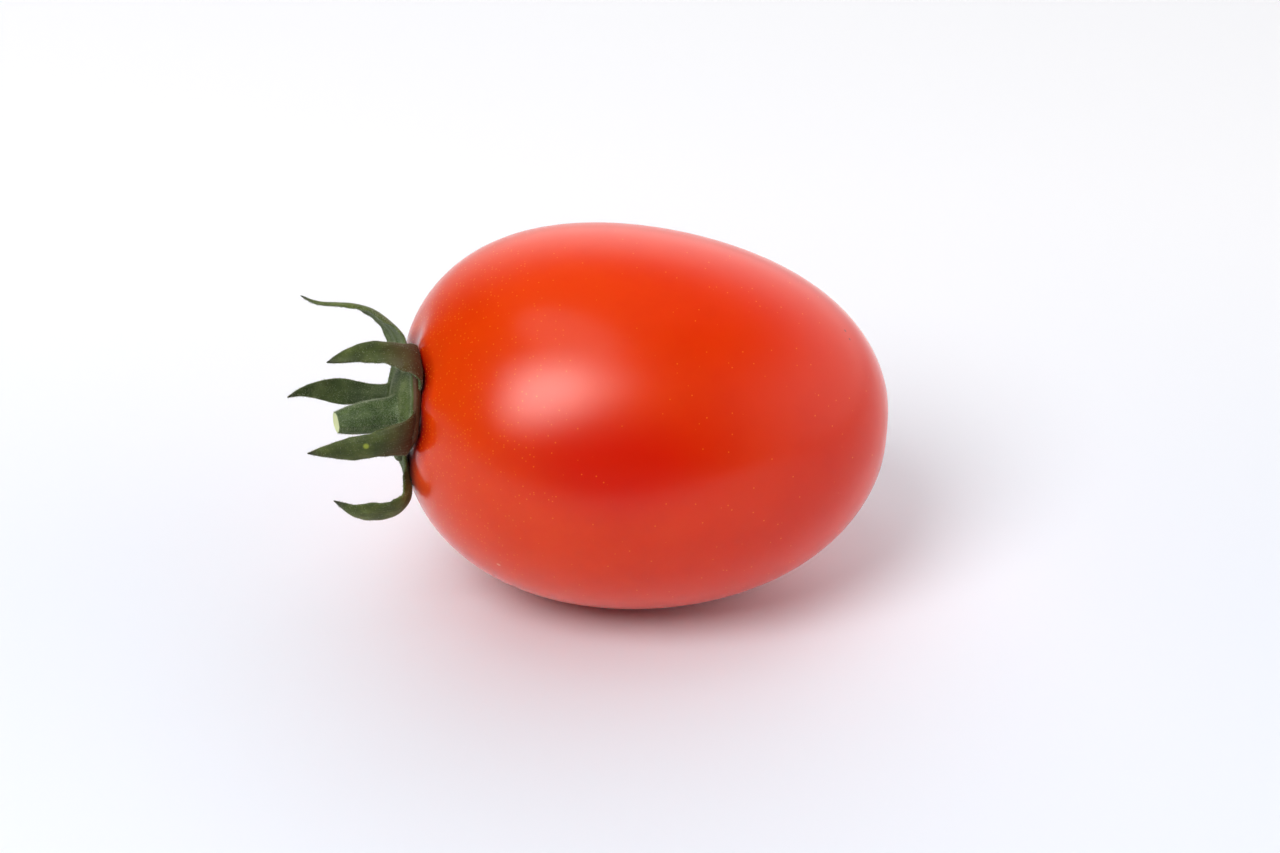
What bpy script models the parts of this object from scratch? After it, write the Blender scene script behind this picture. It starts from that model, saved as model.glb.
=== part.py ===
"""A small plum tomato as picked, lying on its side: the fruit, its calyx and the cut stem.

Metres, +Z up. The stem end points to -X and the front is -Y. The origin is the bottom centre of the
whole object's box, and the fruit rests on a small flat spot at Z = 0.
"""

import math

import bmesh
import bpy
import numpy as np
from mathutils import Vector

MM = 0.001

# Fruit: a turned egg shape, blunt at both ends and slimmer towards the blossom end
FRUIT_RADIUS = 13.7 * MM
FRUIT_HALF_LENGTH = 17.75 * MM
BLOSSOM_TAPER = 0.079
END_FULLNESS = 0.0965
MIDDLE_SAG = 0.37 * MM
REST_TILT = math.radians(5.9)
REST_SPOT_DEPTH = 0.22 * MM
FRUIT_SIDES = 64
FRUIT_RINGS = 38

# Stem end: where the calyx sits, the hollow under it and the soft shoulder lobes round it
HUB_FROM_POLE = math.radians(13.0)
HUB_ROUND_AXIS = math.radians(75.0)
HOLLOW_DEPTH = 1.3 * MM
HOLLOW_RADIUS = 4.6 * MM
SEAT_LIFT = 0.12 * MM
# The hollow's middle lies this far up and to the front of the calyx's middle
HOLLOW_PLACE = (-0.55 * MM, 0.3 * MM)
LOBES = 8
LOBE_HEIGHT = 0.12 * MM
LOBE_PLACE = 5.2 * MM
LOBE_SPREAD = 1.3 * MM
LOBE_TURN = math.radians(50.0)

# Blossom end: a shallow dimple with the dry scar in its middle
DIMPLE_DEPTH = 0.35 * MM
DIMPLE_RADIUS = 1.9 * MM
SCAR_HEIGHT = 0.16 * MM
SCAR_RADIUS = 0.55 * MM

# Calyx: heights are measured along the stem's way out from the seat, a little above the hollow
CALYX_SIDES = 40
COLLAR = (
    (2.80, 0.42),
    (3.50, 0.70),
    (3.82, 1.02),
    (3.62, 1.28),
    (3.10, 1.24),
    (2.55, 1.26),
    (2.24, 1.44),
    (2.00, 1.40),
)
SOCKET_RADIUS = 1.92 * MM
SOCKET_FLOOR = 1.0 * MM
# The stem stands a little off the disc's middle, down and to the front
STEM_OFF_CENTRE = (-0.45 * MM, 0.30 * MM)
OFF_CENTRE_WITHIN = 2.7 * MM
BLADE_THICKNESS = 0.62 * MM
BLADE_STATIONS = 18
BLADE_ACROSS = 6
ROOT_RADIUS = 2.3 * MM
ROOT_HEIGHT = 0.90 * MM
# Width of a blade by the share of its length
WIDTH_STEPS = (0.0, 0.05, 0.22, 0.36, 0.54, 0.75, 0.88, 1.0)
WIDTHS = (3.4, 3.9, 4.0, 2.7, 2.15, 1.75, 1.1, 0.42)
# How far a blade's edges roll in towards the stem, against its half width, by the share of its length
ROLL_STEPS = (0.0, 0.25, 1.0)
ROLLS = (0.0, 0.24, 0.12)
# Each sepal: its bearing round the stem in degrees, from the top towards the front. Then how far its
# root reaches outwards, the control point of its bend and its tip, both as (out, along, sideways) in
# millimetres. Last its width against the widths above and its twist in degrees
SEPALS = (
    (-44, 3.9, (5.3, -0.1, 0.7), (7.3, 8.0, 0.3), 0.60, -16),
    (22, 4.8, (5.6, -0.4, -1.1), (3.5, 6.9, -0.6), 0.86, -8),
    (97, 4.9, (4.7, 0.3, -0.2), (4.4, 8.2, 1.4), 0.94, 6),
    (166, 3.4, (9.4, -1.9, -1.0), (7.2, 5.3, -0.8), 0.92, 10),
    (248, 4.9, (4.4, 6.3, -0.4), (3.0, 8.5, -0.1), 0.84, 0),
)

# Stem: a tapering stub that leans out of the calyx's own direction
STEM_SIDES = 24
STEM_RINGS = 10
STEM_LENGTH = 5.6 * MM
STEM_START = 1.32 * MM
STEM_BEND = 2.8 * MM
STEM_AWAY = (-0.94, -0.33, 0.02)
STEM_FOOT_RADIUS = 1.42 * MM
STEM_CUT_RADIUS = 0.72 * MM
STEM_FLARE = 0.14 * MM
STEM_FLARE_LENGTH = 0.5 * MM


def clear_scene():
    for obj in list(bpy.data.objects):
        bpy.data.objects.remove(obj, do_unlink=True)


def make_material(name, colour, roughness):
    material = bpy.data.materials.new(name)
    material.use_nodes = True
    shader = material.node_tree.nodes["Principled BSDF"]
    shader.inputs["Base Color"].default_value = (*colour, 1.0)
    shader.inputs["Roughness"].default_value = roughness
    shader.inputs["Metallic"].default_value = 0.0
    return material


def make_object(name, points, faces, material):
    """A mesh object with its faces turned outwards and shaded smooth."""
    mesh = bpy.data.meshes.new(name)
    mesh.from_pydata([tuple(map(float, p)) for p in points], [], faces)
    work = bmesh.new()
    work.from_mesh(mesh)
    bmesh.ops.recalc_face_normals(work, faces=work.faces)
    work.to_mesh(mesh)
    work.free()
    mesh.materials.append(material)
    mesh.shade_smooth()
    mesh.set_sharp_from_angle(angle=math.radians(50))
    obj = bpy.data.objects.new(name, mesh)
    bpy.context.scene.collection.objects.link(obj)
    return obj


def loft_faces(rings, sides):
    """Quads between consecutive closed rings of points, with a cap on the first and the last ring."""
    faces = []
    for ring in range(rings - 1):
        for side in range(sides):
            after = (side + 1) % sides
            low, high = ring * sides, (ring + 1) * sides
            faces.append((low + side, low + after, high + after, high + side))
    faces.append(tuple(range(sides)))
    faces.append(tuple((rings - 1) * sides + side for side in range(sides)))
    return faces


def closed_loft_faces(rings, sides):
    """Quads between rings, closed by a fan at each end to a pole point stored after the rings."""
    faces = loft_faces(rings, sides)[:-2]
    first_pole, last_pole = rings * sides, rings * sides + 1
    last = (rings - 1) * sides
    for side in range(sides):
        after = (side + 1) % sides
        faces.append((first_pole, after, side))
        faces.append((last_pole, last + side, last + after))
    return faces


def fruit_body(theta, phi):
    """The smooth fruit in world directions, about its own middle.

    theta runs from the stem end (0) to the blossom end (pi), and phi round the axis from the top
    towards the front. With a = -cos(theta), the girth is R sin(theta) (1 - taper a + fullness a^2).
    """
    along = -np.cos(theta)
    girth = FRUIT_RADIUS * np.sin(theta) * (1 - BLOSSOM_TAPER * along + END_FULLNESS * along**2)
    length = FRUIT_HALF_LENGTH * along
    up = girth * np.cos(phi) - MIDDLE_SAG * (1 - 2 * along**2)
    front = girth * np.sin(phi)
    x = length * math.cos(REST_TILT) + up * math.sin(REST_TILT)
    z = up * math.cos(REST_TILT) - length * math.sin(REST_TILT)
    return np.stack([x + 0 * phi, -front, z], axis=-1)


def outward(theta, phi):
    """The unit normal of the smooth fruit at one place."""
    step = 1e-4
    here = fruit_body(theta, phi)
    down = fruit_body(theta + step, phi) - here
    around = fruit_body(theta, phi + step) - here
    normal = np.cross(around, down)
    normal /= np.linalg.norm(normal)
    return normal if normal @ here > 0 else -normal


def seat_frame():
    """The calyx's seat in the hollow, and its directions: out along the stem, up and front."""
    place = (np.array(HUB_FROM_POLE), np.array(HUB_ROUND_AXIS))
    out = outward(*place)
    seat = fruit_body(*place) - (HOLLOW_DEPTH - SEAT_LIFT) * out
    up = np.array([0.0, 0.0, 1.0])
    up -= (up @ out) * out
    up /= np.linalg.norm(up)
    return seat, out, up, np.cross(up, out)


def with_relief(points):
    """The points moved in for the hollow and the blossom dimple, and out for lobes and scar."""
    seat, out, up, front = seat_frame()
    offset = points - seat
    height, width = offset @ up, offset @ front
    radius = np.hypot(height, width)
    ring = np.exp(-(((radius - LOBE_PLACE) / LOBE_SPREAD) ** 2))
    lift = LOBE_HEIGHT * ring * np.cos(LOBES * (np.arctan2(width, height) - LOBE_TURN))
    from_hollow = np.hypot(height - HOLLOW_PLACE[0], width - HOLLOW_PLACE[1])
    lift -= HOLLOW_DEPTH * np.exp(-((from_hollow / HOLLOW_RADIUS) ** 2))
    at_stem = offset @ out > -FRUIT_HALF_LENGTH / 2
    moved = points + np.outer(lift * at_stem, out)

    pole = fruit_body(np.array(math.pi), np.array(0.0))
    axis = pole / np.linalg.norm(pole)
    offset = points - pole
    radius = np.linalg.norm(offset - np.outer(offset @ axis, axis), axis=1)
    lift = SCAR_HEIGHT * np.exp(-((radius / SCAR_RADIUS) ** 4))
    lift -= DIMPLE_DEPTH * np.exp(-((radius / DIMPLE_RADIUS) ** 2))
    at_blossom = offset @ axis > -FRUIT_HALF_LENGTH / 2
    return moved + np.outer(lift * at_blossom, axis)


def ring_angles():
    """Angles of the fruit's rings from pole to pole, closer together near both poles."""
    near_pole = np.radians((1.4, 2.8, 4.6, 6.8, 9.4))
    between = np.linspace(math.radians(12.5), math.pi - math.radians(12.5), FRUIT_RINGS - 10)
    return np.concatenate([near_pole, between, math.pi - near_pole[::-1]])


def make_fruit(material):
    angles = ring_angles()
    theta = np.repeat(angles, FRUIT_SIDES)
    phi = np.tile(np.linspace(0, 2 * math.pi, FRUIT_SIDES, endpoint=False), len(angles))
    poles = fruit_body(np.array([0.0, math.pi]), np.zeros(2))
    points = with_relief(np.concatenate([fruit_body(theta, phi), poles]))
    fruit = make_object("fruit", points, closed_loft_faces(len(angles), FRUIT_SIDES), material)
    cut_rest_spot(fruit.data)
    return fruit


def cut_rest_spot(mesh):
    """Cuts the lowest sliver off level, which leaves the small flat that the fruit lies on."""
    work = bmesh.new()
    work.from_mesh(mesh)
    level = min(vert.co.z for vert in work.verts) + REST_SPOT_DEPTH
    cut = bmesh.ops.bisect_plane(
        work,
        geom=work.verts[:] + work.edges[:] + work.faces[:],
        plane_co=(0, 0, level),
        plane_no=(0, 0, -1),
        clear_outer=True,
    )
    rim = [item for item in cut["geom_cut"] if isinstance(item, bmesh.types.BMEdge)]
    bmesh.ops.contextual_create(work, geom=rim)
    bmesh.ops.recalc_face_normals(work, faces=work.faces)
    work.to_mesh(mesh)
    work.free()
    mesh.set_sharp_from_angle(angle=math.radians(50))


def stem_shift(up, front):
    return STEM_OFF_CENTRE[0] * up + STEM_OFF_CENTRE[1] * front


def collar_solid(name, material):
    """The disc under the sepals, turned about the stem's way out, with a socket for the stem."""
    seat, out, up, front = seat_frame()
    profile = [(radius * MM, height * MM) for radius, height in COLLAR]
    profile.append((SOCKET_RADIUS, SOCKET_FLOOR))
    bearings = np.linspace(0, 2 * math.pi, CALYX_SIDES, endpoint=False)
    around = np.outer(np.cos(bearings), up) + np.outer(np.sin(bearings), front)
    aside = stem_shift(up, front)
    rings = []
    for radius, height in profile:
        middle = seat + height * out + (radius < OFF_CENTRE_WITHIN) * aside
        rings.append(middle + radius * around)
    poles = [seat + COLLAR[0][1] * MM * out, seat + SOCKET_FLOOR * out + aside]
    points = np.concatenate([*rings, poles])
    return make_object(name, points, closed_loft_faces(len(profile), CALYX_SIDES), material)


def bezier(controls, share):
    """Points of the cubic Bezier curve with four controls, at the shares of its way."""
    t = share[:, None]
    first, second, third, last = controls
    start = (1 - t) ** 3 * first + 3 * t * (1 - t) ** 2 * second
    return start + 3 * t**2 * (1 - t) * third + t**3 * last


def sepal_solid(name, sepal, material):
    """One blade: its width and thickness swept along the curve from its root in the disc to its tip."""
    degrees, reach, bend, tip, broad, twist = sepal
    seat, out, up, front = seat_frame()
    bearing = math.radians(degrees)
    away = math.cos(bearing) * up + math.sin(bearing) * front
    aside = math.cos(bearing) * front - math.sin(bearing) * up
    places = [(ROOT_RADIUS / MM, ROOT_HEIGHT / MM, 0), (reach, ROOT_HEIGHT / MM, 0), bend, tip]
    controls = [seat + MM * (r * away + h * out + s * aside) for r, h, s in places]
    centre = bezier(controls, np.linspace(0, 1, BLADE_STATIONS))

    tangent = np.gradient(centre, axis=0)
    tangent /= np.linalg.norm(tangent, axis=1)[:, None]
    across = aside - (tangent @ aside)[:, None] * tangent
    across /= np.linalg.norm(across, axis=1)[:, None]
    face = np.cross(tangent, across)
    steps = np.linalg.norm(np.diff(centre, axis=0), axis=1)
    share = np.concatenate([[0], np.cumsum(steps)]) / steps.sum()
    turn = (math.radians(twist) * share**2)[:, None]
    across, face = (
        np.cos(turn) * across + np.sin(turn) * face,
        np.cos(turn) * face - np.sin(turn) * across,
    )

    half_width = np.interp(share, WIDTH_STEPS, WIDTHS) * broad * MM / 2
    rolled = half_width * np.interp(share, ROLL_STEPS, ROLLS)
    v = np.linspace(-1, 1, BLADE_ACROSS + 1)
    loops = []
    for station in range(BLADE_STATIONS):
        spine = centre[station] + np.outer(v * half_width[station], across[station])
        spine -= np.outer(rolled[station] * v**2, face[station])
        thick = BLADE_THICKNESS / 2 * face[station]
        loops.append(np.concatenate([spine + thick, spine[::-1] - thick]))
    sides = 2 * (BLADE_ACROSS + 1)
    faces = loft_faces(BLADE_STATIONS, sides)
    return make_object(name, np.concatenate(loops), faces, material)


def make_calyx(material):
    """The disc with its five sepals, joined into one body."""
    calyx = collar_solid("calyx", material)
    sepals = bpy.data.collections.new("sepals")
    bpy.context.scene.collection.children.link(sepals)
    for number, sepal in enumerate(SEPALS):
        blade = sepal_solid(f"sepal_{number}", sepal, material)
        bpy.context.scene.collection.objects.unlink(blade)
        sepals.objects.link(blade)
    union = calyx.modifiers.new("join_sepals", "BOOLEAN")
    union.operation = "UNION"
    union.operand_type = "COLLECTION"
    union.collection = sepals
    union.solver = "MANIFOLD"
    apply_modifiers(calyx)
    for blade in list(sepals.objects):
        bpy.data.objects.remove(blade, do_unlink=True)
    bpy.data.collections.remove(sepals)
    return calyx


def apply_modifiers(obj):
    bpy.context.view_layer.update()
    graph = bpy.context.evaluated_depsgraph_get()
    joined = bpy.data.meshes.new_from_object(obj.evaluated_get(graph))
    obj.modifiers.clear()
    obj.data = joined


def make_stem(material):
    """The stub: circles along a curve that leaves the socket straight and then leans over."""
    seat, out, up, front = seat_frame()
    seat = seat + stem_shift(up, front)
    away = np.array(STEM_AWAY) / np.linalg.norm(STEM_AWAY)
    foot = seat + STEM_START * out
    knee = seat + STEM_BEND * out
    cut = seat + STEM_LENGTH * away
    t = np.linspace(0, 1, STEM_RINGS)[:, None]
    centre = (1 - t) ** 2 * foot + 2 * t * (1 - t) * knee + t**2 * cut
    tangent = 2 * (1 - t) * (knee - foot) + 2 * t * (cut - knee)
    tangent /= np.linalg.norm(tangent, axis=1)[:, None]
    radius = STEM_FOOT_RADIUS + (STEM_CUT_RADIUS - STEM_FOOT_RADIUS) * t
    reach = np.linalg.norm(centre - foot, axis=1)[:, None]
    radius = radius + STEM_FLARE * np.exp(-reach / STEM_FLARE_LENGTH)
    upright = np.array([0.0, 0.0, 1.0]) - tangent[:, 2:3] * tangent
    upright /= np.linalg.norm(upright, axis=1)[:, None]
    beside = np.cross(tangent, upright)
    bearings = np.linspace(0, 2 * math.pi, STEM_SIDES, endpoint=False)
    rings = []
    for ring in range(STEM_RINGS):
        around = np.outer(np.cos(bearings), upright[ring]) + np.outer(np.sin(bearings), beside[ring])
        rings.append(centre[ring] + radius[ring] * around)
    faces = loft_faces(STEM_RINGS, STEM_SIDES)
    return make_object("stem", np.concatenate(rings), faces, material)


def stand_on_origin(objects):
    """Moves every mesh so that the bottom centre of their common box is the origin."""
    corners = np.array([vert.co for obj in objects for vert in obj.data.vertices])
    low, high = corners.min(axis=0), corners.max(axis=0)
    middle = (low + high) / 2
    shift = Vector((-middle[0], -middle[1], -low[2]))
    for obj in objects:
        for vert in obj.data.vertices:
            vert.co += shift


def main():
    clear_scene()
    fruit = make_fruit(make_material("fruit_skin", (0.72, 0.055, 0.02), 0.3))
    calyx = make_calyx(make_material("calyx_green", (0.07, 0.12, 0.035), 0.6))
    stem = make_stem(make_material("stem_green", (0.11, 0.17, 0.06), 0.65))
    stand_on_origin((fruit, calyx, stem))


main()
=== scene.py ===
"""The look of a small plum tomato lying on its side: glossy skin, hairy green calyx and cut stem.

Every length is in metres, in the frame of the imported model. Shapes are worked out in numpy, the
main ones from the same named values as the solids, with finer relief on top.
"""

import math

import bmesh
import bpy
import numpy as np
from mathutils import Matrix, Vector


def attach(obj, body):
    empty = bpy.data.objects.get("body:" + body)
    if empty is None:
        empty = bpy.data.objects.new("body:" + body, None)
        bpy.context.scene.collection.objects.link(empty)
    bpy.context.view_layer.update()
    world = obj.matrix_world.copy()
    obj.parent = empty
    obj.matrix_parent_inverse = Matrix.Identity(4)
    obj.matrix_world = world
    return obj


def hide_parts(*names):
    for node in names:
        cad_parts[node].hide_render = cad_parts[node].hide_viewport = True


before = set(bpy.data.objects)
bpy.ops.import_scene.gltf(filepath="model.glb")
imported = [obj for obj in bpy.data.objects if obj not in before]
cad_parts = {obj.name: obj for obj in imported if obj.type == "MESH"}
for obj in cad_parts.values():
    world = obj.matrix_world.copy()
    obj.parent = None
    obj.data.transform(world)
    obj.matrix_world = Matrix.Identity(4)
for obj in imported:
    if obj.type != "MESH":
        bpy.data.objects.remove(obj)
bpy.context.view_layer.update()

MM = 0.001
RNG = np.random.default_rng(41)

# The middle of the fruit, about which its formula works
FRUIT_MIDDLE = np.array((3.7845, 0.0, 13.7973)) * MM

# Fruit: its smooth form, its seat for the calyx and its blossom end, as in the solids
FRUIT_RADIUS = 13.7 * MM
FRUIT_HALF_LENGTH = 17.75 * MM
BLOSSOM_TAPER = 0.079
END_FULLNESS = 0.0965
MIDDLE_SAG = 0.37 * MM
REST_TILT = math.radians(5.9)
HUB_FROM_POLE = math.radians(13.0)
HUB_ROUND_AXIS = math.radians(75.0)
HOLLOW_DEPTH = 1.3 * MM
HOLLOW_RADIUS = 4.6 * MM
SEAT_LIFT = 0.12 * MM
HOLLOW_PLACE = (-0.55 * MM, 0.3 * MM)
DIMPLE_DEPTH = 0.35 * MM
DIMPLE_RADIUS = 1.9 * MM
SCAR_HEIGHT = 0.16 * MM
SCAR_RADIUS = 0.55 * MM
# Fruit: the lobes and the shoulder round the calyx, as the photo shows them
LOBES = 6
LOBE_HEIGHT = 0.17 * MM
LOBE_PLACE = 4.7 * MM
LOBE_SPREAD = 1.5 * MM
LOBE_TURN = math.radians(6.0)
LOBES_STRONGEST = math.radians(30.0)
LOBES_FOCUS = 1.5
SHOULDER_HEIGHT = 0.46 * MM
SHOULDER_PLACE = 4.1 * MM
SHOULDER_SPREAD = 2.1 * MM
SHOULDER_TURN = math.radians(115.0)
# Fruit: how softly its underside eases onto the floor
REST_EDGE = 0.03 * MM
# Fruit: its mesh, with the rings drawn together towards both ends by this share
FRUIT_RINGS = 236
FRUIT_SIDES = 340
FRUIT_CROWDING = 0.045

# Calyx disc: radius and height in millimetres, from under the fruit side round to the stem
DISC = (
    (0.60, 0.32),
    (1.60, 0.30),
    (2.80, 0.30),
    (3.60, 0.36),
    (4.10, 0.52),
    (4.30, 0.78),
    (4.24, 1.00),
    (4.04, 1.14),
    (3.80, 1.12),
    (3.30, 1.00),
    (2.70, 1.02),
    (2.20, 1.22),
    (1.60, 1.42),
    (0.60, 1.46),
)
DISC_TONE = 1.3
DISC_RINGS = 60
DISC_SIDES = 150
# Calyx disc: its rim bulges towards each sepal and in the web between the two front ones
RIM_RADIUS = 4.1 * MM
RIM_SHARPNESS = 6
RIM_MOST = 1.2
RIM_BULGE = 0.15
RIM_MEAN = 0.9
SEPAL_FOOT_SPREAD = 0.35
FRONT_WEB = math.radians(60.0)
FRONT_WEB_HEIGHT = 0.8
FRONT_WEB_SPREAD = 0.40
# Calyx disc: the part of its profile, from under the fruit side, that faces the fruit
DISC_FRUIT_SIDE = 0.53

# Sepals: blades along curves, as in the solids but thinner
BLADE_STATIONS = 90
BLADE_ROUND = 40
BLADE_THICKNESS = 0.36 * MM
BLADE_THICKNESS_AT = (0, 0.3, 0.9, 1)
BLADE_THICKNESS_SHARE = (1.25, 1.0, 0.7, 0.35)
BLADE_FULLNESS = 0.7
BLADE_MOST_THICK = 0.9
BLADE_LEAST_WIDTH = 0.06
BLADE_TIP = 0.1 * MM
BLADE_ROLLS = (0.0, 0.1, 0.24, 0.2, 0.16, 0.12)
RIB_HEIGHT = 0.13 * MM
RIB_SPREAD = 0.13
# Sepals: the waves of the edge as (height, length) in millimetres, then what each sepal's number
# and the place across the blade add to the phase
WAVES = (
    (0.07, 2.6, 1.7, 1.5),
    (0.03, 1.05, 2.9, 2),
)
# Each sepal: its bearing in degrees, then its middle line from the disc to the tip as
# (out, along, sideways), its widths and its turns in degrees at even steps, and its tone, a factor
# on its colour that paints light on the top sepal and shade on the rear one
SEPALS = {
    "sepal_top": (
        -44,
        (
            (2.3, 0.8, 0.0), (3.6, 0.8, 0.1), (4.75, 1.15, 0.25), (5.75, 1.9, 0.3),
            (6.48, 2.9, 0.3), (6.82, 4.1, 0.3), (6.88, 5.3, 0.3), (6.9, 6.4, 0.3),
            (7.05, 7.15, 0.3), (7.4, 7.9, 0.3),
        ),
        (3.8, 3.8, 3.7, 3.35, 2.7, 2.0, 1.55, 1.25, 0.9, 0.5, 0.1),
        (0, 0, 0, -6, -12, -16, -18, -20, -20, -20, -20),
        1.3,
    ),
    "sepal_front_upper": (
        22,
        (
            (2.3, 0.72, 0.1), (3.4, 0.52, 0.2), (4.25, 0.5, 0.15), (4.68, 0.95, -0.05),
            (4.62, 1.75, -0.45), (4.42, 2.9, -0.85), (4.22, 4.2, -0.9), (3.95, 5.4, -0.75),
            (3.3, 6.75, -0.6),
        ),
        (3.8, 3.7, 3.4, 2.75, 2.2, 1.98, 1.85, 1.65, 1.3, 0.8, 0.1),
        (0, 0, -1, -2, -3, -4, -6, -8),
        1.0,
    ),
    "sepal_front_lower": (
        97,
        (
            (2.3, 0.85, 0.0), (3.4, 0.78, 0.0), (4.25, 1.05, 0.0), (4.72, 1.8, 0.05),
            (4.85, 2.8, 0.25), (4.75, 4.0, 0.65), (4.58, 5.2, 1.0), (4.42, 6.6, 1.27),
            (4.5, 8.1, 1.4),
        ),
        (3.9, 3.9, 3.5, 2.9, 2.4, 2.1, 1.95, 1.75, 1.35, 0.75, 0.1),
        (0, 0, 1, 2, 3, 4, 5, 6),
        1.0,
    ),
    "sepal_bottom": (
        166,
        (
            (2.3, 0.85, 0.0), (3.4, 0.7, -0.15), (4.35, 0.42, -0.3), (5.2, 0.2, -0.45),
            (6.05, -0.02, -0.65), (7.0, 0.1, -0.8), (7.72, 0.75, -0.9), (8.05, 1.8, -0.9),
            (8.0, 3.0, -0.9), (7.84, 3.95, -0.85), (7.5, 4.7, -0.8), (7.15, 5.35, -0.8),
        ),
        (3.7, 3.6, 3.2, 2.9, 2.95, 3.1, 3.0, 2.6, 1.9, 1.0, 0.1),
        (0, 0, 5, 14, 26, 36, 43, 46, 46, 44),
        1.4,
    ),
    "sepal_rear": (
        248,
        (
            (2.3, 0.9, 0.0), (3.6, 0.94, -0.05), (4.0, 1.94, 0.0), (4.2, 3.0, 0.05),
            (4.3, 3.92, 0.1), (4.2, 4.89, 0.17), (4.0, 5.8, 0.22), (3.7, 6.73, 0.18),
            (3.4, 7.58, 0.05), (3.0, 8.43, -0.24),
        ),
        (2.9, 2.4, 1.6, 1.45, 1.65, 1.85, 1.75, 1.4, 0.95, 0.5, 0.1),
        (0, 0),
        0.8,
    ),
}

# Stem: where its foot stands, the way it leans, and its radii in millimetres at even steps from
# the foot to the cut
STEM_RINGS = 64
STEM_SIDES = 60
STEM_OFF_CENTRE = (-0.82 * MM, 0.30 * MM)
STEM_LENGTH = 5.6 * MM
STEM_START = 1.05 * MM
STEM_BEND = 1.9 * MM
STEM_AWAY = (-0.94, -0.33, 0.063)
STEM_RADII = (1.14, 1.14, 1.15, 1.13, 1.06, 0.94, 0.74)
STEM_RADIUS_STEPS = 97
STEM_FLARE = 0.6 * MM
STEM_FLARE_LENGTH = 0.35 * MM
STEM_FLARE_POWER = 1.3
# Stem: ribs as (share of the radius, number round the stem, turn along it)
STEM_RIBS = (
    (0.030, 5, 1.2),
    (0.015, 11, -2),
)
# Stem: the cut's rings as (share of the rim's radius, height in millimetres, place along the piece)
CUT_RINGS = (
    (0.97, 0.05, 0.93),
    (0.90, 0.05, 0.97),
    (0.72, -0.02, 1.0),
    (0.45, -0.04, 1.0),
    (0.2, -0.03, 1.0),
)
CUT_START = 0.9
CUT_MIDDLE = -0.03 * MM

# Hairs: how many and how long at most, on the disc, on each sepal and on the stem
DISC_HAIRS = 3200
DISC_HAIR = 0.16 * MM
SEPAL_HAIRS = 1700
SEPAL_HAIR = 0.13 * MM
STEM_HAIRS = 6000
STEM_HAIR = 0.15 * MM
HAIR_THICKNESS = 0.011 * MM
HAIR_ROOT = 0.02 * MM
HAIR_LEAN = 0.35
HAIR_SHORTEST = 0.35
# Hairs: the part of a sepal's length that bears them, how much fewer grow on its fruit side, how
# far from its middle line the edge begins, and how many more grow there
HAIRY_PART = (0.12, 0.97)
FRUIT_SIDE_LOSS = 0.75
EDGE_PLACE = 0.47
EDGE_HAIRS = 1.5

# Skin: its colour from the calyx outwards, as a distance from the seat, and its soft patches
SKIN_RANGE = (3 * MM, 30 * MM)
SKIN_PATCH = 9 * MM
SKIN_PATCH_EDGE = (0.45, 0.75)
SKIN_PATCH_STRENGTH = 0.30
# Skin: the specks' cells, a speck's soft edge as shares of a cell, the distances from the seat
# between which they thin out, the share of cells without one at both, and their strength
SPECK_CELL = 0.25 * MM
SPECK_EDGE = (0.13, 0.26)
SPECK_RANGE = (5 * MM, 15 * MM)
SPECK_FREE = (0.20, 0.97)
SPECK_STRENGTH = 0.7
# Skin: its finest unevenness
SKIN_GRAIN = 0.35 * MM
# Skin: painted shade, a deeper crimson band where the gloss shows the dark room: its middle, in
# front a little above mid height, and its reach
SHADED_BAND_PLACE = (2.3 * MM, -13.1 * MM, 17.2 * MM)
SHADED_BAND_SIZE = (10.5 * MM, 9.0 * MM, 5.2 * MM)
SHADED_BAND_EDGE = (0.2, 1.0)
SHADED_BAND_STRENGTH = 0.8

# Skin: small natural marks, each the middle of a spot in millimetres, its radius and its colour
MARKS = (
    ((-6.2, -10.3, 7.5), 0.20, "ff9a6a"),
    ((18.1, -1.2, 21.2), 0.14, "7a1c08"),
    ((18.4, -1.7, 20.8), 0.12, "7a1c08"),
    ((18.5, -2.1, 20.4), 0.10, "7a1c08"),
)
# Skin: the dry scar that the flower left
SCAR_COLOUR = "7c3f22"
# Calyx: a pale yellow-green spot on a front sepal, in the same terms as the marks
SEPAL_MARK = ((-15.2, -8.8, 16.3), 0.26, "a9b53c")

# Calyx, stem and hairs: their patterns' sizes, and where along a piece the tip is dry or the cut is
LEAF_BLOTCH = 1.3 * MM
LEAF_GRAIN = 0.20 * MM
RIND_BLOTCH = 0.9 * MM
RIND_GRAIN = 0.26 * MM
FUZZ_BLOTCH = 1.5 * MM
DRY_TIP = (0.90, 0.99)
CUT_EDGE = (0.91, 0.95)

# Calyx: the painted shade on the fruit side, brown with the fruit's red light, as heights over the
# seat and reaches to the front
BROWN_SHADE_HEIGHT = (3.4 * MM, 0.8 * MM)
BROWN_SHADE_REACH = (0.5 * MM, 2.5 * MM)
BROWN_SHADE_BEARING = math.radians(55.0)

# Camera: its target is the fruit's middle, which the photo shows a little off its own middle
PHOTO_WIDTH = 1280
PHOTO_HEIGHT = 853
TARGET_IN_PHOTO = (641.1, 413.6)
CAMERA_DISTANCE = 254.3 * MM
CAMERA_ELEVATION = math.radians(30.0)
LENS_MM = 100
SENSOR_MM = 36

# Light: directions from the fruit, and radiances in units where a lit white sheet is about 1
KEY_WAY = (-0.385, -0.550, 0.741)
KEY_DISTANCE = 0.60
KEY_SIZE = (0.34, 0.34)
KEY = 8.0
# Light: the key softbox's reflection, as ovals of a size in metres and a radiance
REFLECTION_WAY = (-0.362, -0.700, 0.616)
REFLECTION_ROLL = math.radians(-42.0)
REFLECTION_LAYERS = (
    ((0.23, 0.38), 9.0),
    ((0.34, 0.59), 4.6),
    ((0.46, 0.78), 1.8),
)
OVERHEAD_WAY = (-0.20, -0.20, 0.956)
OVERHEAD_DISTANCE = 0.80
OVERHEAD_SIZE = (0.62, 0.36)
OVERHEAD = 1.5
CEILING_WAY = (0.0, 0.50, 0.87)
CEILING_DISTANCE = 1.0
CEILING_SIZE = (1.5, 1.5)
CEILING = 0.80
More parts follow.
